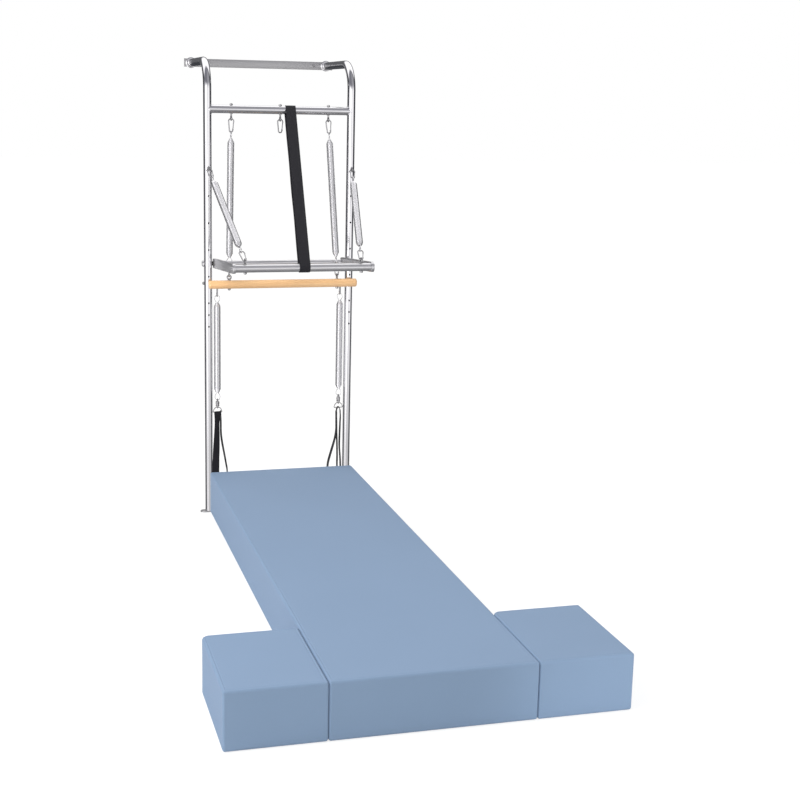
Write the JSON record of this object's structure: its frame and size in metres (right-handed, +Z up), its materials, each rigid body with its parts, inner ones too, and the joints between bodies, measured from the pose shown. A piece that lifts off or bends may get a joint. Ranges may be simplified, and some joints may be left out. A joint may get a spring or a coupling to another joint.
{
  "type": "wall-mounted spring exercise unit",
  "caption": "Wall-fixed steel tube rack with springs, push-through bar, wooden roll-down bar and foot straps, above a raised blue mat with side blocks",
  "frame": {"origin": "on the floor, under the middle of the whole unit", "axes": "+X runs right along the wall as seen by someone facing it, +Y points into the wall, +Z is up"},
  "size_m": [1.3896, 3.0995, 2.197],
  "materials": {
    "polished_steel": "polished tube",
    "grey_steel": "plain grey bar and plate",
    "satin_steel": "satin",
    "zinc_steel": "bright zinc plate",
    "black_plastic": "matt",
    "maple": "clear satin varnish",
    "black_webbing": "woven nylon webbing",
    "blue_vinyl": "soft grained vinyl"
  },
  "bodies": {
    "frame": {"left_lower_post": "polished_steel", "right_lower_post": "polished_steel", "left_upper_post": "polished_steel", "right_upper_post": "polished_steel", "left_post_coupling": "polished_steel", "right_post_coupling": "polished_steel", "left_foot_plate": "grey_steel", "right_foot_plate": "grey_steel", "crossbar": "polished_steel", "wall_rail": "grey_steel", "left_crossbar_eyebolt": "zinc_steel", "centre_crossbar_eyebolt": "zinc_steel", "right_crossbar_eyebolt": "zinc_steel", "left_front_eyebolt": "zinc_steel", "right_front_eyebolt": "zinc_steel", "left_leg_eyebolt": "zinc_steel", "right_leg_eyebolt": "zinc_steel", "left_pivot_bolt": "satin_steel", "right_pivot_bolt": "satin_steel", "left_pivot_spacer": "black_plastic", "right_pivot_spacer": "black_plastic", "left_push_spring_top_carabiner": "zinc_steel", "right_push_spring_top_carabiner": "zinc_steel", "left_push_spring": "zinc_steel", "right_push_spring": "zinc_steel", "safety_strap": "black_webbing", "mat": "blue_vinyl", "left_block": "blue_vinyl", "right_block": "blue_vinyl"},
    "push_bar": {"left_push_bar_plate": "satin_steel", "right_push_bar_plate": "satin_steel", "push_bar_handle": "satin_steel", "pivot_tube": "satin_steel", "left_handle_end_bolt": "polished_steel", "right_handle_end_bolt": "polished_steel", "left_handle_eyebolt": "zinc_steel", "right_handle_eyebolt": "zinc_steel", "left_push_spring_low_carabiner": "zinc_steel", "right_push_spring_low_carabiner": "zinc_steel"},
    "long_springs": {"left_long_spring_top_carabiner": "zinc_steel", "right_long_spring_top_carabiner": "zinc_steel", "left_long_spring": "zinc_steel", "right_long_spring": "zinc_steel"},
    "roll_down": {"roll_down_bar": "maple", "left_bar_eyebolt": "zinc_steel", "right_bar_eyebolt": "zinc_steel", "left_long_spring_low_carabiner": "zinc_steel", "right_long_spring_low_carabiner": "zinc_steel"},
    "spare_carabiner": {"spare_carabiner": "zinc_steel"},
    "left_leg_spring": {"left_leg_spring_carabiner": "zinc_steel", "left_leg_spring": "zinc_steel"},
    "left_leg_end": {"left_snap_hook": "zinc_steel", "left_d_ring": "zinc_steel"},
    "left_foot_strap": {"left_foot_strap": "black_webbing"},
    "right_leg_spring": {"right_leg_spring_carabiner": "zinc_steel", "right_leg_spring": "zinc_steel"},
    "right_leg_end": {"right_snap_hook": "zinc_steel", "right_d_ring": "zinc_steel"},
    "right_foot_strap": {"right_foot_strap": "black_webbing"}
  },
  "joints": [
    {"name": "push_bar_lift", "type": "hinge", "parent": "frame", "child": "push_bar", "pos_m": [-0.0125, 1, 1.225], "axis": [-1, 0, 0], "range_deg": [0, 62], "deforming": ["left_push_spring", "right_push_spring", "safety_strap"]},
    {"name": "roll_down_swing", "type": "hinge", "parent": "frame", "child": "long_springs", "pos_m": [-0.0125, 1, 1.90255], "axis": [-1, 0, 0], "range_deg": [0, 22]},
    {"name": "roll_down_stretch", "type": "slide", "parent": "long_springs", "child": "roll_down", "axis": [0, -0.0507, -0.9987], "range_m": [0, 0.25], "stiffness_N_per_m": 360, "springref_m": -0.05, "deforming": ["left_long_spring", "right_long_spring"]},
    {"name": "spare_carabiner_swing", "type": "hinge", "parent": "frame", "child": "spare_carabiner", "pos_m": [-0.0125, 1, 1.90255], "axis": [-1, 0, 0], "range_deg": [-50, 50]},
    {"name": "left_leg_spring_swing", "type": "hinge", "parent": "frame", "child": "left_leg_spring", "pos_m": [-0.3145, 1, 1.122], "axis": [-1, 0, 0], "range_deg": [-30, 35], "deforming": ["left_foot_strap"]},
    {"name": "left_leg_spring_stretch", "type": "slide", "parent": "left_leg_spring", "child": "left_leg_end", "axis": [0, 0, -1], "range_m": [0, 0.12], "stiffness_N_per_m": 250, "springref_m": -0.03, "deforming": ["left_leg_spring"]},
    {"name": "left_foot_strap_swing", "type": "hinge", "parent": "left_leg_end", "child": "left_foot_strap", "pos_m": [-0.3145, 1, 0.49895], "axis": [-1, 0, 0], "range_deg": [-30, 50], "deforming": ["left_foot_strap"]},
    {"name": "right_leg_spring_swing", "type": "hinge", "parent": "frame", "child": "right_leg_spring", "pos_m": [0.2895, 1, 1.122], "axis": [-1, 0, 0], "range_deg": [-30, 35], "deforming": ["right_foot_strap"]},
    {"name": "right_leg_spring_stretch", "type": "slide", "parent": "right_leg_spring", "child": "right_leg_end", "axis": [0, 0, -1], "range_m": [0, 0.12], "stiffness_N_per_m": 250, "springref_m": -0.03, "deforming": ["right_leg_spring"]},
    {"name": "right_foot_strap_swing", "type": "hinge", "parent": "right_leg_end", "child": "right_foot_strap", "pos_m": [0.2895, 1, 0.49895], "axis": [-1, 0, 0], "range_deg": [-30, 50], "deforming": ["right_foot_strap"]}
  ]
}
